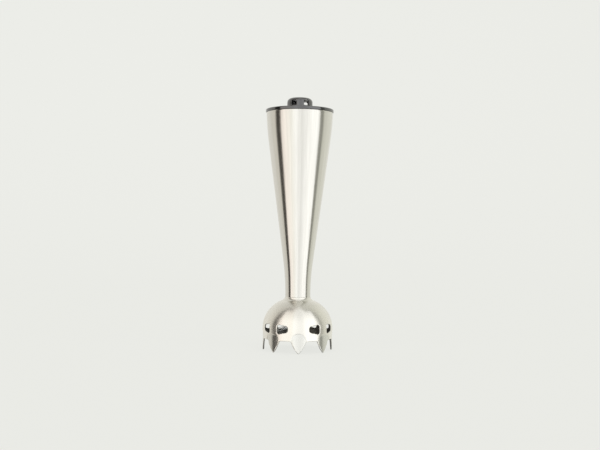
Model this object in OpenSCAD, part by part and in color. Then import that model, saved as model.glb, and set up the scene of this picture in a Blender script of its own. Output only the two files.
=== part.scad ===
// Immersion blender shaft: a flared steel tube, a bell with eight prongs and windows around the
// blade, and a black end cap whose collar plugs into the motor handle. The drive shaft runs down
// the middle in two plain bearings. The shaft stands on its prong tips, which lie at z = 0, with
// the motor end up. Angles are measured from +X, and the pattern of the bell repeats every 90.

/* [Bell] */
// Radius over the four wide lobes
bell_r = 29; // [28:0.5:31]
// Height of the straight skirt below the dome
skirt_h = 18; // [17.5:0.5:20]
// Radius of the arc that forms the dome
dome_arc = 24.3; // [24:0.1:25]
// Thickness of the wall
bell_wall = 1.6; // [1.4:0.1:1.8]
// Depth of the flutes beside each rib
flute_depth = 1.1; // [0.8:0.1:2.4]
// Radius of the round hollow of a flute
flute_arc = 12; // [11:0.5:14]
// Angle from a rib to the flute on either side
flute_angle = 18; // [17:0.5:19]
// Height on the dome, as an angle, at which a flute runs out
flute_fade = 75; // [65:1:78]
// Height of the short spigot inside the end of the tube
spigot_h = 6; // [4:0.5:8]

/* [Windows] */
// Angle from a rib to the middle of a window
window_angle = 17.8; // [17:0.1:18.5]
// Width of a window
window_w = 9.5; // [8:0.5:9.5]
// Height of a window on the side of the rib
window_tall = 7.6; // [7:0.1:8.5]
// Height of a window at its small end
window_short = 4.4; // [4.2:0.1:5]
// Height of the top of a window above the prong tips
window_top = 22.8; // [22:0.1:23.5]
// Drop of the upper edge of a window towards its small end
window_drop = 1.2; // [0.8:0.1:1.6]

/* [Prongs] */
// Width of a prong at its root
prong_w = 13.2; // [12:0.2:14]
// Height of the gaps between the prongs
prong_h = 9.9; // [9.5:0.1:11.5]
// Radius of the curved edges of a prong
prong_arc = 24; // [20:1:40]
// Width of the blunt tip of a prong
tip_w = 1.6; // [1.2:0.1:2.4]
// Depth of the polished leaf on each prong below the lobes
leaf_depth = 0.5; // [0.3:0.1:0.7]
// Height of the arch over the leaf on a wide lobe
lobe_arch_h = 16.4; // [15.5:0.1:17]
// Height of the arch over the leaf on a narrow rib
rib_arch_h = 15; // [14.5:0.1:15.5]

/* [Tube] */
// Radius of the straight neck
neck_r = 10.5; // [10.3:0.1:11]
// Length of the neck, from the bell to where the cone would start
neck_l = 17.5; // [14:0.5:24]
// Length of the cone
cone_l = 122; // [100:1:140]
// Radius at the top of the cone
cone_r = 26.8; // [26:0.1:27.2]
// Length of the nearly straight crown above the cone
crown_l = 15.5; // [14:0.5:20]
// Radius at the top edge
crown_r = 27.7; // [27.4:0.1:28.4]
// Thickness of the steel
tube_wall = 1.2; // [1:0.1:1.3]
// Length of the blend on either side of the corner between neck and cone
neck_blend = 13.4; // [10:0.2:15]
// Length of the blend on either side of the corner between cone and crown
crown_blend = 8.6; // [6:0.2:9]

/* [End cap and collar] */
// Thickness of the cap's plate
cap_t = 2.6; // [2.2:0.1:3.2]
// How far the cap's plate stands proud of the tube
cap_proud = 0.5; // [0.3:0.1:0.8]
// Depth of the cap's skirt inside the tube
cap_skirt_h = 8.5; // [8:0.5:10]
// Thickness of the cap's skirt
cap_skirt_t = 1.8; // [1.6:0.1:2]
// Radius of the locating band at the foot of the collar
collar_r = 11; // [10.9:0.1:11.3]
// Height of the collar above the cap
collar_h = 9.5; // [8.9:0.1:11]
// Thickness of the collar's wall
collar_wall = 1.8; // [1.6:0.1:2]
// Radius of the rounded top edge of the collar
collar_round = 4.2; // [2.4:0.1:4.4]
// Radius of the opening in the top of the collar
collar_mouth_r = 6; // [5.6:0.1:6.2]
// Number of windows around the collar
collar_windows = 6; // [4:1:6]
// Place without a window, counted round the collar from the right
collar_plain = 2; // [0:1:5]
// Width of a collar window
collar_window_w = 4.8; // [4.4:0.1:5]
// Height of a collar window
collar_window_h = 4.4; // [4:0.1:4.4]
// Height of the unbroken base of the collar below its windows
collar_base_h = 2.8; // [2.4:0.1:3]
// Height of the fine groove between the cap and the collar
collar_groove_h = 0.4; // [0.3:0.1:0.6]
// Depth of that groove
collar_groove_d = 0.4; // [0.3:0.1:0.5]
// Height of the locating band above the groove
collar_band_h = 2.3; // [1.8:0.1:2.3]
// How far the collar stands back above its locating band
collar_relief = 0.2; // [0.2:0.1:0.4]
// How far the stem in the cap stands out past the locating band
stem_step = 0.4; // [0.3:0.1:0.6]
// Thickness of the flange that holds the collar under the cap
flange_t = 2.4; // [2:0.1:3]
// Width of that flange
flange_w = 3.4; // [3:0.1:4]

/* [Bearing carrier] */
// Thickness of the hub around the collar
hub_wall = 1.8; // [1.4:0.1:2.2]
// Thickness of the rim inside the skirt of the cap
rim_wall = 1.6; // [1.2:0.1:2]
// Height of the rim
rim_h = 5; // [4:0.5:6]
// Number of webs
webs = 6; // [4:1:8]
// Thickness of a web
web_t = 2; // [1.6:0.1:2.4]

/* [Drive shaft] */
// Radius of the shaft
shaft_r = 3; // [2.9:0.1:3.2]
// Radius of the upper bearing
upper_bearing_r = 8; // [7.6:0.1:8.2]
// Length of the upper bearing
upper_bearing_l = 8; // [6:0.5:10]
// Radius of the lower bearing
lower_bearing_r = 6; // [5.8:0.1:6.2]
// Length of the lower bearing
lower_bearing_l = 14; // [10:0.5:16]
// Thickness of the thrust washers
washer_t = 1; // [0.8:0.1:1.2]
// Thickness of the circlips
clip_t = 0.8; // [0.6:0.1:1]
// Depth of a circlip's groove in the shaft
groove_depth = 0.4; // [0.3:0.05:0.5]
// Radius of the drive coupling
coupling_r = 7.6; // [7.2:0.1:8]
// Height of the drive coupling
coupling_h = 12; // [11.5:0.1:12.5]
// Depth of the hexagonal socket in the drive coupling
socket_depth = 8; // [7:0.1:8.2]
// Width across the flats of the hexagonal socket
socket_af = 7.4; // [7:0.1:8]
// Radius of the cross pin in the coupling
pin_r = 1; // [0.8:0.1:1.2]

/* [Lower bearing housing] */
// Radius of the nose below the bell's crown
nose_r = 8.2; // [8:0.1:8.6]
// Length of the nose
nose_l = 8.6; // [8.2:0.1:9.6]
// Thickness of the flange under the bell's crown
seat_t = 1.8; // [1.5:0.1:2.2]
// Width of the flange beyond the nose
seat_w = 3; // [2.5:0.1:3.4]
// Length of the shaft seal
seal_l = 5.5; // [4.5:0.1:6]
// Thickness of the ring that holds the seal
retainer_t = 1; // [0.8:0.1:1.4]
// Radius of the section of the sealing rings
ring_r = 0.8; // [0.7:0.05:0.9]

/* [Blade] */
// Radius swept by the blade
blade_r = 20.5; // [18:0.5:22]
// Thickness of the blade
blade_t = 1.6; // [1.2:0.1:2]
// Width of a wing at its root
blade_root_w = 11; // [10:0.2:12]
// Width of a wing at its tip
blade_tip_w = 7; // [6:0.2:8]
// Angle by which one wing bends up and the other down
blade_bend = 16; // [8:1:18]
// Radius of the flat middle of the blade
blade_flat_r = 7.2; // [7:0.1:8]
// Radius of the hub above the blade
hub_r = 5.6; // [5.2:0.1:6]
// Height of the hub
hub_h = 8; // [7:0.1:8.5]
// Radius of the hub's splash flange
splash_r = 7.4; // [7:0.1:8]
// Thickness of the splash flange
splash_t = 2; // [1.6:0.1:2.4]
// Radius of the collar pressed on below the blade
press_r = 4.8; // [4.4:0.1:5.4]
// Height of that collar
press_h = 3; // [2.4:0.1:3.4]

/* [Hidden] */
$fn = 72;

// Clearances
fit_gap = 0.05;   // seated parts of one body
run_gap = 0.03;   // shaft in its bearings
end_gap = 0.2;    // turning faces beside fixed ones
free_gap = 0.4;   // turning parts in their housings
cut = 1;          // how far a cutter runs past the face that it opens

// Pattern of the bell
lobes = 4;
prongs = 2 * lobes;
lobe_step = 360 / lobes;
prong_step = 360 / prongs;

// Bell: the dome is an arc about the dome centre, turned about the axis
dome_x = bell_r - dome_arc;
seat_z = skirt_h + sqrt(pow(dome_arc, 2) - pow(neck_r - dome_x, 2));
crown_t = 3;
crown_z = seat_z - crown_t;
tube_bore = neck_r - tube_wall;
spigot_r = tube_bore - fit_gap;
spigot_wall = 1.2;
spigot_bore = spigot_r - spigot_wall;
leaf_r = bell_r - leaf_depth;
flute_shift = flute_depth / (1 - cos(flute_fade));
flute_floor = dome_arc - flute_depth + flute_shift;
flute_x = dome_x - flute_shift;

// Tube
cone_z = seat_z + neck_l;
crown_start = cone_z + cone_l;
tube_top = crown_start + crown_l;

// End cap and collar
cap_top = tube_top + cap_t;
cap_r = crown_r + cap_proud;
crown_slope = (crown_r - cone_r) / crown_l;
cap_skirt_r = min(crown_r, crown_r - crown_slope * cap_skirt_h) - tube_wall - fit_gap;
cap_seal_z = tube_top - cap_skirt_h / 2;
cap_seal_r = crown_r - crown_slope * cap_skirt_h / 2 - tube_wall - fit_gap - ring_r;
collar_top = cap_top + collar_h;
collar_bore = collar_r - collar_wall;
collar_foot = cap_top + collar_groove_h;
collar_band_top = collar_foot + collar_band_h;
collar_groove_r = collar_r - collar_groove_d;
collar_upper_r = collar_r - collar_relief;
stem_r = collar_r + stem_step;
collar_lid_t = 2.1;
cavity_top = collar_top - collar_lid_t;
flange_r = stem_r + flange_w;
collar_lip_t = 1.5;

// Stack of the upper bearing, from the coupling down
coupling_top = cap_top + fit_gap;
coupling_z = coupling_top - coupling_h;
upper_washer_z = coupling_z - washer_t;
upper_bearing_top = upper_washer_z - end_gap;
upper_bearing_z = upper_bearing_top - upper_bearing_l;
collar_z = upper_bearing_z - collar_lip_t;
collar_lip_r = shaft_r + 2.6;
upper_clip_z = collar_z - end_gap - clip_t;
carrier_z = collar_z + fit_gap;
pin_z = coupling_z + 1.9;
pin_l = 2 * coupling_r - 1;
shaft_top = coupling_top - socket_depth - 0.3;

// Lower bearing housing, from the bell's crown down and up
seat_top = crown_z - fit_gap;
seat_bottom = seat_top - seat_t;
nose_z = seat_bottom - nose_l;
retainer_z = nose_z + 0.4;
seal_z = retainer_z + retainer_t + fit_gap;
seal_top = seal_z + seal_l;
ledge_r = shaft_r + 1.6;
lower_bearing_z = seat_z + spigot_h + 1;
lower_bearing_top = lower_bearing_z + lower_bearing_l;
housing_top = lower_bearing_top - 2;
housing_r = spigot_bore - fit_gap;
neck_seal_z = seat_z + spigot_h / 2;
lower_washer_z = lower_bearing_top + end_gap;
lower_clip_z = lower_washer_z + washer_t + fit_gap;

// Blade stack, from the housing's nose down
splash_top = nose_z - free_gap;
hub_z = splash_top - hub_h;
blade_z = hub_z - blade_t;
press_z = blade_z - press_h;
shaft_bottom = press_z - 0.4;
washer_r = shaft_r + 2.4;
clip_r = shaft_r + 1.9;

// Colours
steel = [0.82, 0.82, 0.79];
dark_steel = [0.62, 0.62, 0.6];
black_plastic = [0.12, 0.12, 0.13];
grey_plastic = [0.34, 0.34, 0.36];
bronze = [0.68, 0.5, 0.3];
rubber = [0.08, 0.08, 0.08];

// Unit vector along v
function unit(v) = v / norm(v);

// Points of the arc of radius r that rounds the corner b between a and c
function corner_arc(a, b, c, r, n) =
    let (u = unit(a - b), w = unit(c - b), half = acos(u * w) / 2,
         centre = b + unit(u + w) * r / sin(half),
         p = b + u * r / tan(half) - centre, q = b + w * r / tan(half) - centre,
         p_angle = atan2(p.y, p.x), turn = atan2(p.x * q.y - p.y * q.x, p * q))
    [for (i = [0 : n]) centre + r * [cos(p_angle + turn * i / n), sin(p_angle + turn * i / n)]];

// Closed outline with each corner rounded by its own radius, where 0 keeps it sharp
function rounded(points, radii, n = 6) =
    let (last = len(points) - 1)
    [for (i = [0 : last]) each radii[i] > 0
        ? corner_arc(points[i == 0 ? last : i - 1], points[i], points[i == last ? 0 : i + 1], radii[i], n)
        : [points[i]]];

// Half width of a prong at height z: an arc from the blunt tip to the root
prong_chord = [prong_w / 2 - tip_w / 2, prong_h];
prong_centre = [tip_w / 2, 0] + prong_chord / 2
    + unit([-prong_chord.y, prong_chord.x]) * sqrt(pow(prong_arc, 2) - pow(norm(prong_chord) / 2, 2));
function prong_half(z) = prong_centre.x + sqrt(pow(prong_arc, 2) - pow(z - prong_centre.y, 2));

// Half width of the gap between two prongs, seen square on
function gap_half(z) = bell_r * sin(prong_step / 2 - prong_half(z) / bell_r * 180 / PI);

// Repeats its children at each angle, turned to face outwards
module around(angles) {
    for (a = angles) rotate(a) children();
}

// Repeats its children on both sides of each rib, with the second one mirrored
module beside_ribs(offset_angle) {
    around([for (i = [0 : lobes - 1]) lobe_step * (i + 0.5)])
        for (side = [0, 1]) mirror([0, side, 0]) rotate(offset_angle) children();
}

// Prism that runs outwards along +X, with its outline drawn across (y) and up (z)
module radial_prism(r0, r1) {
    translate([r0, 0, 0]) rotate([90, 0, 90]) linear_extrude(r1 - r0) children();
}

// Ring of rectangular section
module ring(r_in, r_out, z, h) {
    translate([0, 0, z]) difference() {
        cylinder(r = r_out, h = h);
        translate([0, 0, -cut]) cylinder(r = r_in, h = h + 2 * cut);
    }
}

// Ring of round section
module o_ring(r_centre, r_section, z) {
    translate([0, 0, z]) rotate_extrude() translate([r_centre, 0]) circle(r_section);
}

// Curve from a towards c that starts and ends the length l from the corner b
function soft_corner(a, b, c, l, n) = [for (i = [0 : n]) let (t = i / n)
    b + l * (pow(1 - t, 2) * unit(a - b) + t * t * unit(c - b))];

// Centre line of the tube's outside, from the neck to the top edge, moved in by a wall
function tube_side(wall) = [
    [neck_r - wall, seat_z],
    each soft_corner([neck_r - wall, seat_z], [neck_r - wall, cone_z],
        [cone_r - wall, crown_start], neck_blend, 8),
    each soft_corner([neck_r - wall, cone_z], [cone_r - wall, crown_start],
        [crown_r - wall, tube_top], crown_blend, 5),
    [crown_r - wall, tube_top]];

module outer_tube() {
    inside = tube_side(tube_wall);
    last = len(inside) - 1;
    color(steel) rotate_extrude()
        polygon([each tube_side(0), for (i = [0 : last]) inside[last - i]]);
}

// Solid of the bell's dome and skirt, moved in by a wall, up to the height top
module dome(wall, top, bottom) {
    rotate_extrude() intersection() {
        translate([0, bottom]) square([bell_r, top - bottom]);
        union() {
            translate([0, bottom]) square([bell_r - wall, skirt_h - bottom]);
            translate([dome_x, skirt_h]) circle(dome_arc - wall);
            translate([0, bottom]) square([dome_x, top - bottom]);
        }
    }
}

// Round tool that runs up the skirt and over the dome, moved in by a wall. Its bottom lies deep
// in the skirt, and it leaves the dome at the fade angle.
module flute(r, wall) {
    ring_arc = flute_floor + r - wall;
    translate([flute_x + ring_arc, 0, -cut]) cylinder(r = r, h = skirt_h + cut);
    translate([flute_x, 0, skirt_h]) rotate([90, 0, 0]) rotate_extrude(angle = 80)
        translate([ring_arc, 0]) circle(r);
}

// Window between a rib and a lobe: tall beside the rib, with a rounded small end
module bell_window() {
    small_top = window_top - window_drop;
    radial_prism(bell_r / 2, bell_r + cut) polygon(rounded(
        [[-window_w / 2, window_top], [-window_w / 2, window_top - window_tall],
         [window_w / 2, small_top - window_short], [window_w / 2, small_top]],
        [1, 1.4, window_short / 2 - 0.3, window_short / 2 - 0.3]));
}

// Gap between two prongs, with its upper corners rounded
module prong_gap() {
    steps = [0 : 0.2 : 0.8];
    radial_prism(bell_r / 2, bell_r + cut) polygon([
        [gap_half(0), -cut],
        for (t = steps) [gap_half(t * prong_h), t * prong_h],
        each corner_arc([gap_half(0.8 * prong_h), 0.8 * prong_h], [gap_half(prong_h), prong_h],
            [0, prong_h], 1.6, 4),
        each corner_arc([0, prong_h], [-gap_half(prong_h), prong_h],
            [-gap_half(0.8 * prong_h), 0.8 * prong_h], 1.6, 4),
        for (t = steps) [-gap_half((0.8 - t) * prong_h), (0.8 - t) * prong_h],
        [-gap_half(0), -cut]]);
}

// Shallow step that leaves the polished leaf of a prong below an arch
module leaf_pocket(half_w, arch_h) {
    difference() {
        radial_prism(bell_r - 3, bell_r + cut) union() {
            translate([-half_w, -cut]) square([2 * half_w, arch_h - half_w + cut]);
            translate([0, arch_h - half_w]) circle(half_w);
        }
        translate([0, 0, -2 * cut]) cylinder(r = leaf_r, h = arch_h + 3 * cut);
    }
}

module bell() {
    color(steel) difference() {
        union() {
            difference() {
                dome(0, seat_z, 0);
                beside_ribs(flute_angle) flute(flute_arc, 0);
            }
            cylinder(r = spigot_r, h = seat_z + spigot_h);
        }
        difference() {
            dome(bell_wall, crown_z, -cut);
            beside_ribs(flute_angle) flute(flute_arc - 2, bell_wall);
        }
        cylinder(r = spigot_bore, h = seat_z + spigot_h + cut);
        beside_ribs(window_angle) bell_window();
        around([for (i = [0 : prongs - 1]) prong_step * (i + 0.5)]) prong_gap();
        around([for (i = [0 : lobes - 1]) lobe_step * i]) leaf_pocket(prong_w / 2 - 0.2, lobe_arch_h);
        around([for (i = [0 : lobes - 1]) lobe_step * (i + 0.5)]) leaf_pocket(prong_w / 3, rib_arch_h);
    }
}

module end_cap() {
    color(black_plastic) difference() {
        union() {
            translate([0, 0, tube_top]) rotate_extrude() polygon(rounded(
                [[0, 0], [cap_r, 0], [cap_r, cap_t], [0, cap_t]], [0, 0.4, 1, 0]));
            translate([0, 0, tube_top - cap_skirt_h]) cylinder(r = cap_skirt_r, h = cap_skirt_h);
        }
        translate([0, 0, tube_top - cap_skirt_h - cut])
            cylinder(r = cap_skirt_r - cap_skirt_t, h = cap_skirt_h + cut);
        translate([0, 0, tube_top - cut]) cylinder(r = stem_r + fit_gap, h = cap_t + 2 * cut);
        ring(cap_seal_r - ring_r, cap_skirt_r + cut, cap_seal_z - ring_r, 2 * ring_r);
    }
}

module end_cap_seal() {
    color(rubber) o_ring(cap_seal_r, ring_r - 0.02, cap_seal_z);
}

module coupling_collar() {
    window_z = cap_top + collar_base_h;
    color(black_plastic) difference() {
        union() {
            rotate_extrude() polygon(rounded(
                [[0, collar_z], [stem_r, collar_z], [stem_r, cap_top], [collar_groove_r, cap_top],
                 [collar_groove_r, collar_foot], [collar_r, collar_foot],
                 [collar_r, collar_band_top], [collar_upper_r, collar_band_top],
                 [collar_upper_r, collar_top], [0, collar_top]],
                [0, 0.8, 0, 0, 0, 0, 0, 0, collar_round, 0], 8));
            translate([0, 0, tube_top - fit_gap - flange_t]) cylinder(r = flange_r, h = flange_t);
        }
        translate([0, 0, upper_bearing_top]) cylinder(r = collar_bore, h = cavity_top - upper_bearing_top);
        translate([0, 0, upper_bearing_z]) cylinder(r = upper_bearing_r + fit_gap, h = upper_bearing_l + cut);
        translate([0, 0, collar_z - cut]) cylinder(r = collar_lip_r, h = collar_lip_t + 2 * cut);
        translate([0, 0, cavity_top - cut]) cylinder(r = collar_mouth_r, h = collar_lid_t + 2 * cut);
        around([for (i = [0 : collar_windows - 1]) if (i != collar_plain) 360 / collar_windows * i])
            radial_prism(collar_bore - cut, collar_r + cut) polygon(rounded(
                [[-collar_window_w / 2, window_z], [collar_window_w / 2, window_z],
                 [collar_window_w / 2, window_z + collar_window_h],
                 [-collar_window_w / 2, window_z + collar_window_h]],
                [0.6, 0.6, 1.8, 1.8]));
    }
}

// Moulded spider between the collar and the skirt of the cap: hub, rim and six webs
module bearing_carrier() {
    top = tube_top - fit_gap - flange_t - fit_gap;
    rim_r = cap_skirt_r - cap_skirt_t - fit_gap;
    color(grey_plastic) difference() {
        union() {
            translate([0, 0, carrier_z]) cylinder(r = stem_r + hub_wall, h = top - carrier_z);
            ring(rim_r - rim_wall, rim_r, top - rim_h, rim_h);
            around([for (i = [0 : webs - 1]) 360 / webs * (i + 0.5)])
                translate([0, 0, top]) rotate([90, 0, 0]) translate([0, 0, -web_t / 2]) linear_extrude(web_t)
                    polygon([[stem_r, carrier_z - top], [stem_r + hub_wall + 1, carrier_z - top],
                        [rim_r - rim_wall / 2, -rim_h], [rim_r - rim_wall / 2, 0], [stem_r, 0]]);
        }
        translate([0, 0, carrier_z - cut]) cylinder(r = stem_r + fit_gap, h = top - carrier_z + 2 * cut);
    }
}

module upper_bearing() {
    color(bronze) ring(shaft_r + run_gap, upper_bearing_r, upper_bearing_z, upper_bearing_l);
}

module lower_bearing_housing() {
    color(dark_steel) difference() {
        union() {
            translate([0, 0, nose_z]) rotate_extrude() polygon(rounded(
                [[0, 0], [nose_r, 0], [nose_r, seat_top - nose_z], [0, seat_top - nose_z]], [0, 1, 0, 0]));
            translate([0, 0, seat_bottom]) rotate_extrude() polygon(rounded(
                [[0, 0], [nose_r + seat_w, 0], [nose_r + seat_w, seat_t], [0, seat_t]], [0, 0.6, 0, 0]));
            translate([0, 0, seat_bottom]) cylinder(r = housing_r, h = housing_top - seat_bottom);
        }
        translate([0, 0, nose_z - cut]) cylinder(r = lower_bearing_r + fit_gap, h = seal_top - nose_z + cut);
        translate([0, 0, nose_z]) cylinder(r = ledge_r, h = housing_top - nose_z);
        translate([0, 0, lower_bearing_z])
            cylinder(r = lower_bearing_r + fit_gap, h = housing_top - lower_bearing_z + cut);
        ring(housing_r - 2 * ring_r + fit_gap, housing_r + cut, neck_seal_z - ring_r, 2 * ring_r);
    }
}

module lower_bearing() {
    color(bronze) ring(shaft_r + run_gap, lower_bearing_r, lower_bearing_z, lower_bearing_l);
}

module neck_seal() {
    color(rubber) o_ring(housing_r - ring_r + fit_gap, ring_r - 0.02, neck_seal_z);
}

// Lip seal: an outer sleeve with an inner lip that leans down towards the shaft
module shaft_seal() {
    lip = shaft_r + run_gap;
    wall = 1.2;
    color(rubber) translate([0, 0, seal_z]) rotate_extrude() polygon([
        [lower_bearing_r, 0], [lower_bearing_r, seal_l], [ledge_r, seal_l], [lip + 0.4, seal_l * 0.62],
        [lip, seal_l * 0.24], [lip, seal_l * 0.16], [lip + 0.5, seal_l * 0.14],
        [lip + wall, seal_l * 0.5], [lower_bearing_r - wall, seal_l * 0.6], [lower_bearing_r - wall, 0]]);
}

module seal_retainer() {
    color(dark_steel) ring(shaft_r + 0.8, lower_bearing_r, retainer_z, retainer_t);
}

module drive_shaft() {
    color(dark_steel) difference() {
        translate([0, 0, shaft_bottom]) rotate_extrude() polygon(rounded(
            [[0, 0], [shaft_r, 0], [shaft_r, shaft_top - shaft_bottom], [0, shaft_top - shaft_bottom]],
            [0, 0.6, 0.4, 0]));
        ring(shaft_r - groove_depth, shaft_r + cut, upper_clip_z - fit_gap, clip_t + 2 * fit_gap);
        ring(shaft_r - groove_depth, shaft_r + cut, lower_clip_z - fit_gap, clip_t + 2 * fit_gap);
        translate([0, 0, pin_z]) rotate([0, 90, 0]) cylinder(r = pin_r + fit_gap, h = 3 * shaft_r, center = true);
    }
}

module drive_coupling() {
    color(grey_plastic) difference() {
        translate([0, 0, coupling_z]) rotate_extrude() polygon(rounded(
            [[0, 0], [coupling_r, 0], [coupling_r, coupling_h], [0, coupling_h]], [0, 0.6, 1.2, 0]));
        translate([0, 0, coupling_z - cut]) cylinder(r = shaft_r + fit_gap, h = coupling_h);
        translate([0, 0, coupling_top - socket_depth])
            cylinder(r = socket_af / 2 / cos(30), h = socket_depth + cut, $fn = 6);
        translate([0, 0, coupling_top - 0.8])
            cylinder(r1 = socket_af / 2, r2 = socket_af / 2 + 0.8 + cut, h = 0.8 + cut);
        translate([0, 0, pin_z]) rotate([0, 90, 0]) cylinder(r = pin_r + fit_gap, h = 3 * coupling_r, center = true);
    }
}

module coupling_pin() {
    color(steel) translate([0, 0, pin_z]) rotate([0, 90, 0]) cylinder(r = pin_r, h = pin_l, center = true);
}

// Open spring clip that sits in a groove of the shaft
module circlip(z) {
    mouth = 2.6;
    color(dark_steel) difference() {
        ring(shaft_r - groove_depth + fit_gap, clip_r, z, clip_t);
        translate([0, -mouth / 2, z - cut]) cube([clip_r + cut, mouth, clip_t + 2 * cut]);
    }
}

module upper_thrust_washer() {
    color(steel) ring(shaft_r + fit_gap, washer_r, upper_washer_z, washer_t - fit_gap);
}

module upper_circlip() {
    circlip(upper_clip_z);
}

module lower_thrust_washer() {
    color(steel) ring(shaft_r + fit_gap, washer_r, lower_washer_z, washer_t);
}

module lower_circlip() {
    circlip(lower_clip_z);
}

module blade_hub() {
    color(steel) difference() {
        translate([0, 0, hub_z]) rotate_extrude() polygon(rounded(
            [[0, 0], [hub_r, 0], [hub_r, hub_h - splash_t - 1.2], [splash_r, hub_h - splash_t],
             [splash_r, hub_h], [0, hub_h]], [0, 0, 0.8, 0.4, 0.6, 0]));
        translate([0, 0, hub_z - cut]) cylinder(r = shaft_r + fit_gap, h = hub_h + 2 * cut);
    }
}

// One wing, lying flat along +X from the middle of the blade, with a ground leading edge
module blade_wing() {
    ground = 0.35;
    inner = -1;
    edge = atan2((blade_root_w - blade_tip_w) / 2, blade_r);
    difference() {
        linear_extrude(blade_t) polygon(rounded(
            [[inner, -blade_root_w / 2], [blade_r * cos(12), -blade_tip_w / 2],
             [blade_r * cos(6), blade_tip_w / 4], [blade_r * 0.8, blade_tip_w / 2 + 0.4],
             [inner, blade_root_w / 2]], [0, 1, 2.4, 6, 0]));
        translate([0, -blade_root_w / 2, 0]) rotate(edge) translate([blade_flat_r + 1, 0, ground])
            rotate([32, 0, 0]) translate([0, -blade_root_w, 0]) cube([blade_r, blade_root_w, 2 * blade_t]);
    }
}

// Part of a wing between two distances from the axis
module wing_part(x0, x1) {
    intersection() {
        blade_wing();
        translate([x0, -blade_root_w, -cut]) cube([x1 - x0, 2 * blade_root_w, blade_t + 2 * cut]);
    }
}

module blade() {
    bend_x = blade_flat_r - 0.2;
    color(steel) difference() {
        translate([0, 0, blade_z]) union() {
            cylinder(r = blade_flat_r, h = blade_t);
            for (side = [0, 1]) rotate(180 * side) {
                wing_part(-cut, blade_flat_r + 0.3);
                translate([bend_x, 0, blade_t / 2]) rotate([0, side == 0 ? -blade_bend : blade_bend, 0])
                    translate([-bend_x, 0, -blade_t / 2]) wing_part(bend_x, bend_x + blade_r);
            }
        }
        translate([0, 0, blade_z - cut]) cylinder(r = shaft_r + fit_gap, h = blade_t + 2 * cut);
    }
}

module press_collar() {
    color(steel) difference() {
        translate([0, 0, press_z]) rotate_extrude() polygon(rounded(
            [[0, 0], [press_r, 0], [press_r, press_h], [0, press_h]], [0, 1.4, 0, 0]));
        translate([0, 0, press_z - cut]) cylinder(r = shaft_r + fit_gap, h = press_h + 2 * cut);
    }
}

outer_tube();
bell();
end_cap();
end_cap_seal();
coupling_collar();
bearing_carrier();
upper_bearing();
lower_bearing_housing();
lower_bearing();
neck_seal();
shaft_seal();
seal_retainer();
drive_shaft();
drive_coupling();
coupling_pin();
upper_thrust_washer();
upper_circlip();
lower_thrust_washer();
lower_circlip();
blade_hub();
blade();
press_collar();
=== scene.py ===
"""Looks of the immersion blender shaft: finishes, smooth shells, studio and camera.

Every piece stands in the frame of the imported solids, in metres, with +Z towards the motor end.
Sizes in the classes below are in millimetres and follow the real shaft.
"""

import logging
import math
from dataclasses import dataclass
from enum import Enum
from typing import Any, Callable, Sequence

import bpy
import numpy as np
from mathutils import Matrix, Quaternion, Vector


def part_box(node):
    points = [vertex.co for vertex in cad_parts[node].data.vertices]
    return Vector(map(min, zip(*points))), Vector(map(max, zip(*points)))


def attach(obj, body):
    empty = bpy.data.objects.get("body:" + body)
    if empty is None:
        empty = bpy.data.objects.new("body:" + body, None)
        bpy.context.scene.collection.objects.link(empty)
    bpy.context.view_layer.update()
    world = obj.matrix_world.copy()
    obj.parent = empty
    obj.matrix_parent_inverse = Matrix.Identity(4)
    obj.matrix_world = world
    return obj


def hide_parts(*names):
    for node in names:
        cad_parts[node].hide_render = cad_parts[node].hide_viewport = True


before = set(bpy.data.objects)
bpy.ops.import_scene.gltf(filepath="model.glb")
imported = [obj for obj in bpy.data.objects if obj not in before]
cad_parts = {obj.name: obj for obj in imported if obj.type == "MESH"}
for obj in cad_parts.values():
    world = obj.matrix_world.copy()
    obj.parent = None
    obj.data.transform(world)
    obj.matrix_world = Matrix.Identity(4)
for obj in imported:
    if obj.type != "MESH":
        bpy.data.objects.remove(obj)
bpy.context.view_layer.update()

MM = 0.001
LOG = logging.getLogger("blender_shaft")
# Least radius, in millimetres, that anything is divided by.
TINY = 1e-3
# Corners of a CAD node's loose triangles that lie closer than this, in metres, are merged.
WELD_GAP = 1e-6
# Nearly all values of a noise texture lie between these two.
NOISE_LOW, NOISE_HIGH = 0.3, 0.7


class Body(Enum):
    """The two rigid bodies of the shaft."""

    HOUSING = "housing"
    ROTOR = "rotor"


def linear(colour: str) -> tuple[float, float, float, float]:
    """Turns an sRGB hex colour into linear light, by the curve that the sRGB standard gives.

    Args:
        colour: Six hex digits.

    Returns:
        Red, green and blue in linear light, and full opacity.
    """
    channels = [int(colour[i:i + 2], 16) / 255 for i in (0, 2, 4)]
    light = [c / 12.92 if c <= 0.04045 else ((c + 0.055) / 1.055) ** 2.4 for c in channels]
    return (light[0], light[1], light[2], 1.0)


def add_node(tree: bpy.types.NodeTree, kind: str, inputs: dict[Any, Any] | None = None,
             **settings: Any) -> bpy.types.Node:
    """Adds a shader node, sets it up and links it.

    Args:
        tree: Node tree that takes the node.
        kind: Type name of the node.
        inputs: Socket name or number to a value, or to the output socket that feeds it.
        settings: Properties of the node itself.

    Returns:
        The new node.
    """
    node = tree.nodes.new(kind)
    for name, value in settings.items():
        setattr(node, name, value)
    for name, value in (inputs or {}).items():
        if isinstance(value, bpy.types.NodeSocket):
            tree.links.new(value, node.inputs[name])
        else:
            node.inputs[name].default_value = value
    return node


def new_tree(owner: bpy.types.Material | bpy.types.World) -> bpy.types.NodeTree:
    """Empties the node tree of a material or a world.

    Args:
        owner: Material or world.

    Returns:
        Its empty node tree.
    """
    owner.use_nodes = True
    owner.node_tree.nodes.clear()
    return owner.node_tree


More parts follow.
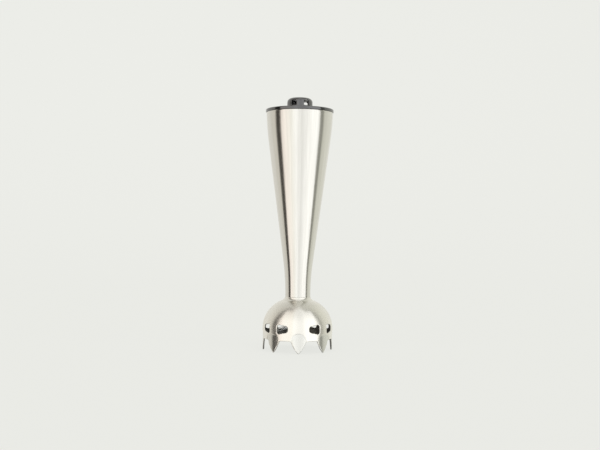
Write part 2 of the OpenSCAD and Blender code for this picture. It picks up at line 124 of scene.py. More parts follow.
def mesh_object(name: str, points: np.ndarray, faces: np.ndarray) -> bpy.types.Object:
    """Makes an object from arrays of corners and four-sided faces, shaded smooth.

    Args:
        name: Name of the object and its mesh.
        points: Corners in metres, one row each.
        faces: Indices of each face's corners, one row of four each.

    Returns:
        The linked object, at the origin.
    """
    mesh = bpy.data.meshes.new(name)
    mesh.vertices.add(len(points))
    mesh.vertices.foreach_set("co", points.astype(np.float32).ravel())
    mesh.loops.add(faces.size)
    mesh.loops.foreach_set("vertex_index", faces.astype(np.int32).ravel())
    mesh.polygons.add(len(faces))
    mesh.polygons.foreach_set("loop_start", np.arange(0, faces.size, 4, dtype=np.int32))
    mesh.polygons.foreach_set("use_smooth", np.ones(len(faces), dtype=bool))
    mesh.update(calc_edges=True)
    mesh.validate()
    piece = bpy.data.objects.new(name, mesh)
    bpy.context.scene.collection.objects.link(piece)
    return piece


def lathe(name: str, profile: np.ndarray, steps: int, closed: bool = True) -> bpy.types.Object:
    """Turns a profile about the Z axis.

    The surface is (r cos a, r sin a, z), where r and z run along the profile and a runs round.
    The profile runs anticlockwise as seen with r to the right and z up, so faces point outwards.

    Args:
        name: Name of the piece.
        profile: Outline as rows of radius and height, in millimetres.
        steps: Number of steps round the axis.
        closed: Whether the outline's last point joins its first.

    Returns:
        The piece.
    """
    angle = np.linspace(0, 2 * math.pi, steps, endpoint=False)[:, None]
    radius, height = profile[:, 0][None, :], profile[:, 1][None, :]
    points = np.stack([radius * np.cos(angle), radius * np.sin(angle),
                       np.broadcast_to(height, (steps, len(profile)))], axis=-1) * MM
    count = len(profile)
    i, j = np.meshgrid(np.arange(steps), np.arange(count if closed else count - 1), indexing="ij")
    i2, j2 = (i + 1) % steps, (j + 1) % count
    faces = np.stack([i * count + j, i2 * count + j, i2 * count + j2, i * count + j2], axis=-1)
    return mesh_object(name, points.reshape(-1, 3), faces.reshape(-1, 4))


def rounded_outline(corners: Sequence[tuple[float, float, float]], steps: int = 8) -> np.ndarray:
    """Rounds the corners of a closed outline.

    Each corner b between a and c becomes the quadratic curve from b + r u to b + r v, where u and
    v point from b to its neighbours, which for a right angle lies close to an arc of radius r.

    Args:
        corners: Radius, height and rounding of each corner, in millimetres.
        steps: Number of steps in each rounded corner.

    Returns:
        Rows of radius and height.
    """
    rows: list[np.ndarray] = []
    count = len(corners)
    t = np.linspace(0, 1, steps + 1)[:, None]
    for k, (x, y, r) in enumerate(corners):
        b = np.array([x, y])
        if r <= 0:
            rows.append(b[None, :])
            continue
        a, c = np.array(corners[k - 1][:2]), np.array(corners[(k + 1) % count][:2])
        start = b + r * (a - b) / np.linalg.norm(a - b)
        end = b + r * (c - b) / np.linalg.norm(c - b)
        rows.append((1 - t) ** 2 * start + 2 * t * (1 - t) * b + t ** 2 * end)
    return np.concatenate(rows)


def densified(outline: np.ndarray, longest: float) -> np.ndarray:
    """Adds points to the long straight sides of a closed outline, so that shading stays even.

    A side from a to b gets the points a + (b - a) k / n, for k from 0 to n - 1.

    Args:
        outline: Rows of radius and height, in millimetres.
        longest: Longest side that is left, in millimetres.

    Returns:
        The outline with the points added.
    """
    rows: list[np.ndarray] = []
    for a, b in zip(outline, np.roll(outline, -1, axis=0)):
        pieces = max(1, int(math.ceil(np.linalg.norm(b - a) / longest)))
        rows.append(a + (b - a) * np.arange(pieces)[:, None] / pieces)
    return np.concatenate(rows)


def merged_copy(node: str, name: str) -> bpy.types.Object:
    """Copies a CAD node's mesh into a new object and merges its doubled corners.

    Args:
        node: CAD node to copy.
        name: Name of the new piece.

    Returns:
        The piece, with the merging still a modifier.
    """
    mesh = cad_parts[node].data.copy()
    mesh.name = name
    mesh.materials.clear()
    piece = bpy.data.objects.new(name, mesh)
    bpy.context.scene.collection.objects.link(piece)
    weld = piece.modifiers.new("weld", "WELD")
    weld.merge_threshold = WELD_GAP
    return piece


def bake_modifiers(piece: bpy.types.Object) -> None:
    """Replaces a piece's mesh by its shape with all modifiers applied.

    Args:
        piece: The piece, whose modifiers are gone afterwards.
    """
    graph = bpy.context.evaluated_depsgraph_get()
    mesh = bpy.data.meshes.new_from_object(piece.evaluated_get(graph))
    old = piece.data
    piece.modifiers.clear()
    piece.data = mesh
    mesh.name = old.name
    bpy.data.meshes.remove(old)


def softened_copy(node: str, name: str, voxel: float, rounds: int,
                  reshape: Callable[[np.ndarray], np.ndarray] | None = None) -> bpy.types.Object:
    """Copies a CAD node and rounds its edges as moulding, pressing or polishing does.

    The copy is rebuilt on a grid of voxels and then each corner moves towards the mean of its
    neighbours a number of times, which rounds edges by about a voxel.

    Args:
        node: CAD node to copy.
        name: Name of the piece.
        voxel: Size of the grid in millimetres, in a full render.
        rounds: How many times the corners move.
        reshape: Takes the corners in millimetres, before they are smoothed, and returns them moved.

    Returns:
        The piece, which rides on nothing yet.
    """
    piece = merged_copy(node, name)
    remesh = piece.modifiers.new("grid", "REMESH")
    remesh.mode = "VOXEL"
    remesh.voxel_size = voxel * MM * 1
    remesh.use_smooth_shade = True
    if reshape is not None:
        bake_modifiers(piece)
        corners = reshape(corner_array(piece.data)) * MM
        piece.data.vertices.foreach_set("co", corners.astype(np.float32).ravel())
        piece.data.update()
    smooth = piece.modifiers.new("polish", "SMOOTH")
    smooth.factor = 0.5
    smooth.iterations = rounds
    bake_modifiers(piece)
    return piece


def corner_array(mesh: bpy.types.Mesh) -> np.ndarray:
    """Reads a mesh's corners.

    Args:
        mesh: The mesh, in metres.

    Returns:
        Rows of x, y and z in millimetres.
    """
    flat = np.empty(len(mesh.vertices) * 3, dtype=np.float32)
    mesh.vertices.foreach_get("co", flat)
    return flat.reshape(-1, 3) / MM


def paint(mesh: bpy.types.Mesh, name: str, values: np.ndarray) -> None:
    """Stores one number per corner under a name that materials can read."""
    attribute = mesh.attributes.new(name, "FLOAT", "POINT")
    attribute.data.foreach_set("value", values.astype(np.float32))


def smooth_step(low: float, high: float, value: np.ndarray) -> np.ndarray:
    """Returns 0 below low, 1 above high and a smooth rise between them."""
    t = np.clip((value - low) / (high - low), 0, 1)
    return t * t * (3 - 2 * t)


def dress(piece: bpy.types.Object, material: bpy.types.Material) -> None:
    """Gives a whole piece one material.

    Args:
        piece: The piece, which has faces.
        material: Its material.
    """
    piece.data.materials.clear()
    piece.data.materials.append(material)
    faces = piece.data.polygons
    faces.foreach_set("material_index", np.zeros(len(faces), dtype=np.int32))


def dress_node(node: str, material: bpy.types.Material) -> None:
    """Gives a CAD node that stays in view one material.

    Args:
        node: Name of the node.
        material: Its material.
    """
    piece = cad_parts[node]
    for slot in piece.material_slots:
        slot.material = material
    if not piece.material_slots:
        piece.data.materials.append(material)


def settle(piece: bpy.types.Object, body: Body, nodes: Sequence[str]) -> None:
    """Ties a finished piece to its body, hides the CAD nodes that it stands for, and reports it.

    Args:
        piece: The finished piece.
        body: Body that carries it.
        nodes: CAD nodes that it stands for.
    """
    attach(piece, body.value)
    if nodes:
        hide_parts(*nodes)
    triangles = sum(len(face.vertices) - 2 for face in piece.data.polygons)
    LOG.info("%s: %d triangles, rides on %s", piece.name, triangles, body.value)


@dataclass(frozen=True)
class BrushedSteel:
    """Stainless steel sheet, drawn and brushed: bright, with faint streaks along the brushing.

    The streaks run along the axis, as the tube is brushed lengthwise, and so they draw each
    reflection out into a soft band. They lie about 0.9 mm apart on the neck, which is coarser
    than the real 0.2 mm, so that they still show in the render.
    """

    name: str = "brushed_stainless"
    colour: str = "dad9d3"
    streak_colour: str = "c4c2bb"
    roughness: float = 0.13
    roughness_spread: float = 0.07
    streaks_around: float = 73.3
    streak_length_mm: float = 45.0
    grain_mm: float = 0.5
    grain_depth_mm: float = 0.012
    grain_strength: float = 0.25

    def material(self) -> bpy.types.Material:
        """Builds the material.

        Returns:
            The material, made of shader nodes.
        """
        material = bpy.data.materials.new(self.name)
        tree = new_tree(material)
        place = add_node(tree, "ShaderNodeTexCoord").outputs["Object"]
        parts = add_node(tree, "ShaderNodeSeparateXYZ", {0: place})
        flat = add_node(tree, "ShaderNodeCombineXYZ", {0: parts.outputs[0], 1: parts.outputs[1]})
        around = add_node(tree, "ShaderNodeVectorMath", {0: flat.outputs[0]}, operation="NORMALIZE")
        spread = add_node(tree, "ShaderNodeVectorMath",
                          {0: around.outputs[0], "Scale": self.streaks_around / (2 * math.pi)},
                          operation="SCALE")
        rise = add_node(tree, "ShaderNodeMath",
                        {0: parts.outputs[2], 1: 1 / (self.streak_length_mm * MM)}, operation="MULTIPLY")
        lift = add_node(tree, "ShaderNodeCombineXYZ", {2: rise.outputs[0]})
        line = add_node(tree, "ShaderNodeVectorMath", {0: spread.outputs[0], 1: lift.outputs[0]},
                        operation="ADD")
        streak = add_node(tree, "ShaderNodeTexNoise",
                          {"Vector": line.outputs[0], "Scale": 1.0, "Detail": 4.0, "Roughness": 0.6})
        grain = add_node(tree, "ShaderNodeTexNoise",
                         {"Vector": place, "Scale": 1 / (self.grain_mm * MM), "Detail": 3.0})
        colour = add_node(tree, "ShaderNodeMix",
                          {0: streak.outputs["Fac"], 6: linear(self.colour),
                           7: linear(self.streak_colour)}, data_type="RGBA")
        rough = add_node(tree, "ShaderNodeMapRange",
                         {0: streak.outputs["Fac"], 1: NOISE_LOW, 2: NOISE_HIGH,
                          3: self.roughness, 4: self.roughness + self.roughness_spread})
        bump = add_node(tree, "ShaderNodeBump",
                        {"Height": grain.outputs["Fac"], "Strength": self.grain_strength,
                         "Distance": self.grain_depth_mm * MM})
        shader = add_node(tree, "ShaderNodeBsdfPrincipled",
                          {"Base Color": colour.outputs[2], "Metallic": 1.0,
                           "Roughness": rough.outputs[0], "Normal": bump.outputs[0]})
        add_node(tree, "ShaderNodeOutputMaterial", {0: shader.outputs[0]})
        return material


@dataclass(frozen=True)
class SatinSteel:
    """Pressed stainless steel, bead-blasted to a satin, with the leaf of each prong polished.

    The satin blurs what it mirrors. The blasting is about 0.1 mm fine; the grain here is 0.35 mm
    so that it shows. The piece's own attributes say where it differs: leaf for the polish, and
    inside for painted shade, a dark grey on the bell's inner face that stands for the shade in it.
    """

    name: str = "satin_stainless"
    colour: str = "dcdad2"
    leaf_colour: str = "d0d0ca"
    # Painted shade: the bell's inner face is coloured this dark grey to stand for the shade that falls
    # inside it.
    inner_shade_colour: str = "55544f"
    roughness: float = 0.27
    leaf_roughness: float = 0.2
    inner_roughness: float = 0.5
    roughness_swing: float = 0.04
    grain_mm: float = 0.35
    grain_depth_mm: float = 0.006
    grain_strength: float = 0.3
    cloud_mm: float = 9.0

    def material(self) -> bpy.types.Material:
        """Builds the material.

        Returns:
            The material, made of shader nodes.
        """
        material = bpy.data.materials.new(self.name)
        tree = new_tree(material)
        place = add_node(tree, "ShaderNodeTexCoord").outputs["Object"]
        leaf = add_node(tree, "ShaderNodeAttribute", attribute_name="leaf").outputs["Fac"]
        # The inside attribute marks where the painted shade of the bell's inner face goes.
        inside = add_node(tree, "ShaderNodeAttribute", attribute_name="inside").outputs["Fac"]
        grain = add_node(tree, "ShaderNodeTexNoise",
                         {"Vector": place, "Scale": 1 / (self.grain_mm * MM), "Detail": 2.0})
        cloud = add_node(tree, "ShaderNodeTexNoise",
                         {"Vector": place, "Scale": 1 / (self.cloud_mm * MM), "Detail": 3.0})
        uneven = add_node(tree, "ShaderNodeMapRange",
                          {0: cloud.outputs["Fac"], 1: NOISE_LOW, 2: NOISE_HIGH,
                           3: self.roughness - self.roughness_swing,
                           4: self.roughness + self.roughness_swing})
        polish = add_node(tree, "ShaderNodeMix",
                          {0: leaf, 2: uneven.outputs[0], 3: self.leaf_roughness})
        rough = add_node(tree, "ShaderNodeMix",
                         {0: inside, 2: polish.outputs[0], 3: self.inner_roughness})
        bright = add_node(tree, "ShaderNodeMix",
                          {0: leaf, 6: linear(self.colour), 7: linear(self.leaf_colour)},
                          data_type="RGBA")
        # Mixes in the painted shade of the bell's inner face.
        colour = add_node(tree, "ShaderNodeMix",
                          {0: inside, 6: bright.outputs[2], 7: linear(self.inner_shade_colour)},
                          data_type="RGBA")
        bump = add_node(tree, "ShaderNodeBump",
                        {"Height": grain.outputs["Fac"], "Strength": self.grain_strength,
                         "Distance": self.grain_depth_mm * MM})
        shader = add_node(tree, "ShaderNodeBsdfPrincipled",
                          {"Base Color": colour.outputs[2], "Metallic": 1.0,
                           "Roughness": rough.outputs[0], "Normal": bump.outputs[0]})
        add_node(tree, "ShaderNodeOutputMaterial", {0: shader.outputs[0]})
        return material


@dataclass(frozen=True)
class TurnedMetal:
    """Metal with fine turning rings about 0.3 mm apart, as on a shaft, a hub or a bush.

    The rings give it a dull gloss that changes along the axis. The noise is squeezed across the
    axis, so that it varies along it only.
    """

    name: str
    colour: str
    roughness: float
    smoother_by: float = 0.05
    rougher_by: float = 0.08
    squeeze: float = 0.05
    ring_mm: float = 0.3
    ring_depth_mm: float = 0.004
    ring_strength: float = 0.3

    def material(self) -> bpy.types.Material:
        """Builds the material.

        Returns:
            The material, made of shader nodes.
        """
        material = bpy.data.materials.new(self.name)
        tree = new_tree(material)
        place = add_node(tree, "ShaderNodeTexCoord").outputs["Object"]
        squeezed = add_node(tree, "ShaderNodeMapping",
                            {0: place, 3: (self.squeeze, self.squeeze, 1.0)})
        rings = add_node(tree, "ShaderNodeTexNoise",
                         {"Vector": squeezed.outputs[0], "Scale": 1 / (self.ring_mm * MM),
                          "Detail": 2.0})
        rough = add_node(tree, "ShaderNodeMapRange",
                         {0: rings.outputs["Fac"], 1: NOISE_LOW, 2: NOISE_HIGH,
                          3: self.roughness - self.smoother_by, 4: self.roughness + self.rougher_by})
        bump = add_node(tree, "ShaderNodeBump",
                        {"Height": rings.outputs["Fac"], "Strength": self.ring_strength,
                         "Distance": self.ring_depth_mm * MM})
        shader = add_node(tree, "ShaderNodeBsdfPrincipled",
                          {"Base Color": linear(self.colour), "Metallic": 1.0,
                           "Roughness": rough.outputs[0], "Normal": bump.outputs[0]})
        add_node(tree, "ShaderNodeOutputMaterial", {0: shader.outputs[0]})
        return material


@dataclass(frozen=True)
class Moulding:
    """Injection-moulded plastic or rubber, as ABS, acetal or a seal ring.

    The mould leaves a faint orange peel, 1.6 mm wide, which makes the edges of reflections waver
    and the gloss slightly uneven.
    """

    name: str
    colour: str
    roughness: float
    peel_mm: float = 1.6
    peel_depth_mm: float = 0.01
    peel_strength: float = 0.2
    # Roughness where the peel is lowest and highest, as shares of the mean.
    gloss_spread: tuple[float, float] = (0.85, 1.2)
    ior: float = 1.5

    def material(self) -> bpy.types.Material:
        """Builds the material.

        Returns:
            The material, made of shader nodes.
        """
        material = bpy.data.materials.new(self.name)
        tree = new_tree(material)
        place = add_node(tree, "ShaderNodeTexCoord").outputs["Object"]
        peel = add_node(tree, "ShaderNodeTexNoise",
                        {"Vector": place, "Scale": 1 / (self.peel_mm * MM), "Detail": 2.0})
        rough = add_node(tree, "ShaderNodeMapRange",
                         {0: peel.outputs["Fac"], 1: NOISE_LOW, 2: NOISE_HIGH,
                          3: self.roughness * self.gloss_spread[0],
                          4: self.roughness * self.gloss_spread[1]})
        bump = add_node(tree, "ShaderNodeBump",
                        {"Height": peel.outputs["Fac"], "Strength": self.peel_strength,
                         "Distance": self.peel_depth_mm * MM})
        shader = add_node(tree, "ShaderNodeBsdfPrincipled",
                          {"Base Color": linear(self.colour), "Roughness": rough.outputs[0],
                           "IOR": self.ior, "Normal": bump.outputs[0]})
        add_node(tree, "ShaderNodeOutputMaterial", {0: shader.outputs[0]})
        return material


@dataclass
class Tube:
    """The flared steel tube: a straight neck, a long cone and a nearly straight crown.

    The radii and lengths are those of the solid. Each blend is the length over which two sides
    run into one another, and the edge is how much the rims are broken.
    """

    finish: BrushedSteel
    neck_r: float = 10.5
    cone_r: float = 26.8
    crown_r: float = 27.7
    wall: float = 1.2
    neck_l: float = 17.5
    crown_l: float = 15.5
    neck_blend: float = 26.8
    crown_blend: float = 17.2
    edge: float = 0.15
    rows: int = 150
    steps: int = 240

    def outer_radius(self, height: np.ndarray, low: float, high: float) -> np.ndarray:
        """Gives the radius of the outside at each height.

        The slope is zero on the neck, then that of the cone, then that of the crown. Round each
        change of slope the radius gains the change times u squared over twice the blend's
        length, where u runs from 0 to that length, so that the sides meet in a soft curve.

        Args:
            height: Heights in millimetres.
            low: Height of the lower end.
            high: Height of the upper end.

        Returns:
            Radii in millimetres.
        """
        cone_z, crown_z = low + self.neck_l, high - self.crown_l
        cone_slope = (self.cone_r - self.neck_r) / (crown_z - cone_z)
        crown_slope = (self.crown_r - self.cone_r) / self.crown_l

        def soft(z: float, length: float) -> np.ndarray:
            """Gives the height above a change of slope at z, rising from zero along the blend."""
            u = height - z + length / 2
            return np.where(u > length, u - length / 2, np.clip(u, 0, length) ** 2 / (2 * length))

        return (self.neck_r + cone_slope * soft(cone_z, self.neck_blend)
                + (crown_slope - cone_slope) * soft(crown_z, self.crown_blend))

    def build(self) -> bpy.types.Object:
        """Makes the tube between the ends of its CAD node and dresses it.

        Returns:
            The finished tube.
        """
        low, high = (corner.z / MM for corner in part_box("outer_tube"))
        height = np.linspace(low, high, self.rows)
        outer = self.outer_radius(height, low, high)
        outside = np.stack([outer, height], axis=1)
        inside = np.stack([outer - self.wall, height], axis=1)[::-1]
        rim = np.array([[outer[-1] - self.edge, high], [inside[0, 0] + self.edge, high]])
        foot = np.array([[inside[-1, 0] + self.edge, low], [outer[0] - self.edge, low]])
        outside[-1, 1] -= self.edge
        outside[0, 1] += self.edge
        profile = np.concatenate([outside, rim, inside, foot])
        piece = lathe("tube_shell", profile, self.steps)
        dress(piece, self.finish.material())
        settle(piece, Body.HOUSING, ["outer_tube"])
        return piece


@dataclass
class Bell:
    """The fluted bell, with soft pressed edges, a polished leaf on each prong and its weld bead.

    The dome is an arc of radius dome_arc about a centre at (radius - dome_arc, skirt_h) of the
    meridian plane, with a straight skirt below it. The solid's flutes are round hollows with
    sharp sides; here they are drawn again as shallow waves, because the press leaves them soft.
    """

    finish: SatinSteel
    voxel: float = 0.45
    rounds: int = 8
    # The solid's own sizes, and the height in degrees over which its flutes run out.
    radius: float = 29.0
    skirt_h: float = 18.0
    dome_arc: float = 24.3
    wall: float = 1.6
    flute_depth: float = 1.1
    flute_arc: float = 12.0
    flute_angle: float = 18.0
    flute_fade: float = 75.0
    # The waves and leaves that are drawn in place of the flutes; angles are in degrees.
    wave_depth: float = 0.4
    wave_angle: float = 27.0
    wave_half: float = 11.0
    leaf_depth: float = 0.22
    leaf_edge: float = 0.2
    # Each leaf: half width, rise of its arch and height of its top, then its angle from the Y axis.
    leaves: tuple[tuple[float, float, float, float], ...] = (
        (6.3, 6.3, 16.2, 0.0), (6.1, 2.6, 14.8, 48.0), (6.3, 6.3, 16.2, 90.0))
    # Places in the wall, from 0 inside to 1 outside, between which a change fades in, and the
    # distance from the neck's radius over which it does.
    moved_part: tuple[float, float] = (0.3, 0.7)
    painted_part: tuple[float, float] = (0.35, 0.65)
    neck_clear: float = 0.3
    # The bead reaches out to bead_r, up by bead_h and down by bead_fall from the tube's foot. Its
    # hollow side is drawn towards a point that lies bead_pull out of the neck and above the foot.
    bead_r: float = 14.4
    bead_h: float = 2.6
    bead_fall: float = 1.4
    bead_pull: tuple[float, float] = (0.25, -0.1)
    bead_lap: float = 0.05
    bead_side: float = 1.0
    bead_rows: int = 9
    bead_steps: int = 180

    def from_y(self, points: np.ndarray) -> np.ndarray:
        """Gives each corner's angle from the Y axis, folded into 0 to 90 degrees, in radians."""
        return np.arctan2(np.abs(points[:, 0]), np.abs(points[:, 1]))

    def from_rib(self, points: np.ndarray) -> np.ndarray:
        """Gives each corner's angle from the nearest rib; ribs stand at 45 degrees."""
        return np.abs(self.from_y(points) - math.pi / 4)

    def leaf(self, points: np.ndarray) -> np.ndarray:
        """Says how far each corner lies in the leaf of a prong, seen from outside.

        With s the distance along the rim from the middle of the prong, the leaf lies below the
        arch z = top - h + h root(1 - s squared over w squared), and fades across leaf_edge.

        Args:
            points: Corners in millimetres.

        Returns:
            A number from 0 to 1 for each corner.
        """
        turn = self.from_y(points)
        inside = np.zeros(len(points))
        for half_w, rise, top, angle in self.leaves:
            share = np.abs(turn - math.radians(angle)) * self.radius / half_w
            arch = top - rise + rise * np.sqrt(np.clip(1 - share ** 2, 0, None))
            below = smooth_step(-self.leaf_edge, self.leaf_edge, arch - points[:, 2])
            inside = np.maximum(inside, below * (share < 1))
        return inside

    def depth_in_wall(self, points: np.ndarray) -> tuple[np.ndarray, ...]:
        """Places each corner in the wall of the solid bell.

        In the meridian plane a corner lies at the distance q from the dome's centre, in the
        direction f. The solid's flutes are D (1 - (1 - cos f) / (1 - cos fade)) deep in the
        middle, less the sag of their arc and the fall of the dome to either side.

        Args:
            points: Corners in millimetres.

        Returns:
            The distance q, the cosine and sine of f, the share of the flutes' depth that is left
            there, and the place in the wall, 0 on the inside and 1 on the outside.
        """
        radius = np.hypot(points[:, 0], points[:, 1])
        across = np.maximum(radius - (self.radius - self.dome_arc), TINY)
        rise = np.maximum(points[:, 2] - self.skirt_h, 0)
        distance = np.hypot(across, rise)
        cos, sin = across / distance, rise / distance
        left = np.clip(1 - (1 - cos) / (1 - math.cos(math.radians(self.flute_fade))), 0, 1)
        turn = self.from_rib(points) - math.radians(self.flute_angle)
        beside = np.clip(radius * np.sin(turn), -self.flute_arc, self.flute_arc)
        sag = self.flute_arc - np.sqrt(self.flute_arc ** 2 - beside ** 2)
        fall = radius * (1 - np.cos(turn)) * cos
        flute = np.maximum(self.flute_depth * left - sag - fall, 0)
        place = (distance - (self.dome_arc - flute - self.wall)) / self.wall
        return distance, cos, sin, left, place

    def reshape(self, points: np.ndarray) -> np.ndarray:
        """Moves the outside to the dome less the soft waves and the leaves' shallow step.

        A wave is half of D (1 + cos (pi t)) deep, where t runs from -1 to 1 across it.

        Args:
            points: Corners in millimetres.

        Returns:
            The moved corners.
        """
        distance, cos, sin, left, place = self.depth_in_wall(points)
        turn = (self.from_rib(points) - math.radians(self.wave_angle)) / math.radians(self.wave_half)
        wave = self.wave_depth * left ** 2 * (1 + np.cos(math.pi * np.clip(turn, -1, 1))) / 2
        target = self.dome_arc - wave - self.leaf_depth * self.leaf(points)
        radius = np.hypot(points[:, 0], points[:, 1])
        beyond_neck = smooth_step(-self.neck_clear, self.neck_clear, radius - Tube.neck_r)
        move = (target - distance) * smooth_step(*self.moved_part, place) * beyond_neck
        outward = points[:, :2] / np.maximum(radius, TINY)[:, None]
        return points + np.column_stack([outward * (move * cos)[:, None], move * sin])

    def bead(self, material: bpy.types.Material) -> bpy.types.Object:
        """Makes the ground weld bead between tube and dome.

        Its side is the quadratic curve (1 - t)^2 foot + 2 t (1 - t) corner + t^2 top, turned
        about Z, and its back lies just inside the neck.

        Args:
            material: The bell's material.

        Returns:
            The finished bead.
        """
        seat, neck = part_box("outer_tube")[0].z / MM, Tube.neck_r
        t = np.linspace(0, 1, self.bead_rows)[:, None]
        top = np.array([neck - self.bead_lap, seat + self.bead_h])
        corner = np.array([neck, seat]) + self.bead_pull
        foot = np.array([self.bead_r, seat - self.bead_fall])
        hollow = (1 - t) ** 2 * foot + 2 * t * (1 - t) * corner + t ** 2 * top
        profile = np.concatenate([hollow, [[neck - self.bead_lap, seat - self.bead_fall]]])
        piece = lathe("weld_bead", densified(profile, self.bead_side), self.bead_steps)
        dress(piece, material)
        settle(piece, Body.HOUSING, [])
        return piece

    def build(self) -> bpy.types.Object:
        """Makes the bell from its CAD node, softens it, dresses it and adds the bead.

        Returns:
            The finished bell, without its bead.
        """
        piece = softened_copy("bell", "bell_shell", self.voxel, self.rounds, self.reshape)
        points = corner_array(piece.data)
        outside = smooth_step(*self.painted_part, self.depth_in_wall(points)[-1])
        paint(piece.data, "leaf", self.leaf(points) * outside)
        # Painted shade: the inside attribute darkens the bell's inner face to stand for the shade inside
        # it.
        paint(piece.data, "inside", 1 - outside)
        material = self.finish.material()
        dress(piece, material)
        settle(piece, Body.HOUSING, ["bell"])
        self.bead(material)
        return piece


@dataclass
class EndCap:
    """The glossy black plate over the wide end of the tube, with its skirt inside.

    The edges are how much each corner of the section is rounded, and the gap is the play round
    the collar's stem.
    """

    finish: Moulding
    plate_t: float = 2.6
    edge_low: float = 0.5
    edge_high: float = 1.1
    skirt_t: float = 1.8
    skirt_in: float = 2.7
    skirt_edge: float = 0.4
    mouth_edge: float = 0.2
    gap: float = 0.05
    longest_side: float = 2.0
    steps: int = 240

    def build(self) -> bpy.types.Object:
        """Makes the cap from the corners of its CAD node and dresses it.

        Returns:
            The finished cap.
        """
        low, high = (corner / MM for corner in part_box("end_cap"))
        outer, top = high.x, high.z
        plate_z = top - self.plate_t
        mouth = Collar.stem_r + self.gap
        skirt = outer - self.skirt_in
        skirt_bore = skirt - self.skirt_t
        outline = rounded_outline([
            (mouth, plate_z, 0), (skirt_bore, plate_z, 0), (skirt_bore, low.z, self.skirt_edge),
            (skirt, low.z, self.skirt_edge), (skirt, plate_z, 0), (outer, plate_z, self.edge_low),
            (outer, top, self.edge_high), (mouth, top, self.mouth_edge)])
        piece = lathe("cap_moulding", densified(outline, self.longest_side), self.steps)
        dress(piece, self.finish.material())
        settle(piece, Body.HOUSING, ["end_cap"])
        return piece


@dataclass
class Collar:
    """The domed black collar that plugs into the motor handle, with its arched windows."""

    finish: Moulding
    voxel: float = 0.265
    rounds: int = 4
    stem_r: float = 11.4

    def build(self) -> bpy.types.Object:
        """Makes the collar from its CAD node, softens it and dresses it.

        Returns:
            The finished collar.
        """
        piece = softened_copy("coupling_collar", "collar_moulding", self.voxel, self.rounds)
        dress(piece, self.finish.material())
        settle(piece, Body.HOUSING, ["coupling_collar"])
        return piece


@dataclass
class BladeSet:
    """The two-wing blade with its hub and pressed collar, as seen through the bell."""

    steel: TurnedMetal
    ground: TurnedMetal
    voxel: float = 0.2
    rounds: int = 2

    def build(self) -> bpy.types.Object:
        """Makes the blade from its CAD node and dresses the turned pieces beside it.

        Returns:
            The finished blade.
        """
        blade = softened_copy("blade", "blade_wings", self.voxel, self.rounds)
        dress(blade, self.ground.material())
        settle(blade, Body.ROTOR, ["blade"])
        turned = self.steel.material()
        for node in ("blade_hub", "press_collar"):
            dress_node(node, turned)
        return blade


@dataclass
class InnerWorks:
    """The pieces inside the shaft, which keep their CAD form and take their finishes here."""

    bronze: TurnedMetal
    shaft_steel: TurnedMetal
    spring_steel: TurnedMetal
    grey: Moulding
    rubber: Moulding

    def groups(self) -> list[tuple[TurnedMetal | Moulding, tuple[str, ...]]]:
        """Pairs each finish with the CAD nodes that have it.

        Returns:
            Finishes, each with the names of its nodes.
        """
        return [
            (self.bronze, ("upper_bearing", "lower_bearing")),
            (self.shaft_steel, ("drive_shaft", "lower_bearing_housing", "seal_retainer")),
            (self.spring_steel, ("coupling_pin", "upper_thrust_washer", "upper_circlip",
                                 "lower_thrust_washer", "lower_circlip")),
            (self.grey, ("bearing_carrier", "drive_coupling")),
            (self.rubber, ("end_cap_seal", "neck_seal", "shaft_seal"))]

    def build(self) -> None:
        """Dresses the nodes of each group with its finish."""
        for finish, nodes in self.groups():
            material = finish.material()
            for node in nodes:
                dress_node(node, material)
            LOG.info("%s: %s", finish.name, ", ".join(nodes))


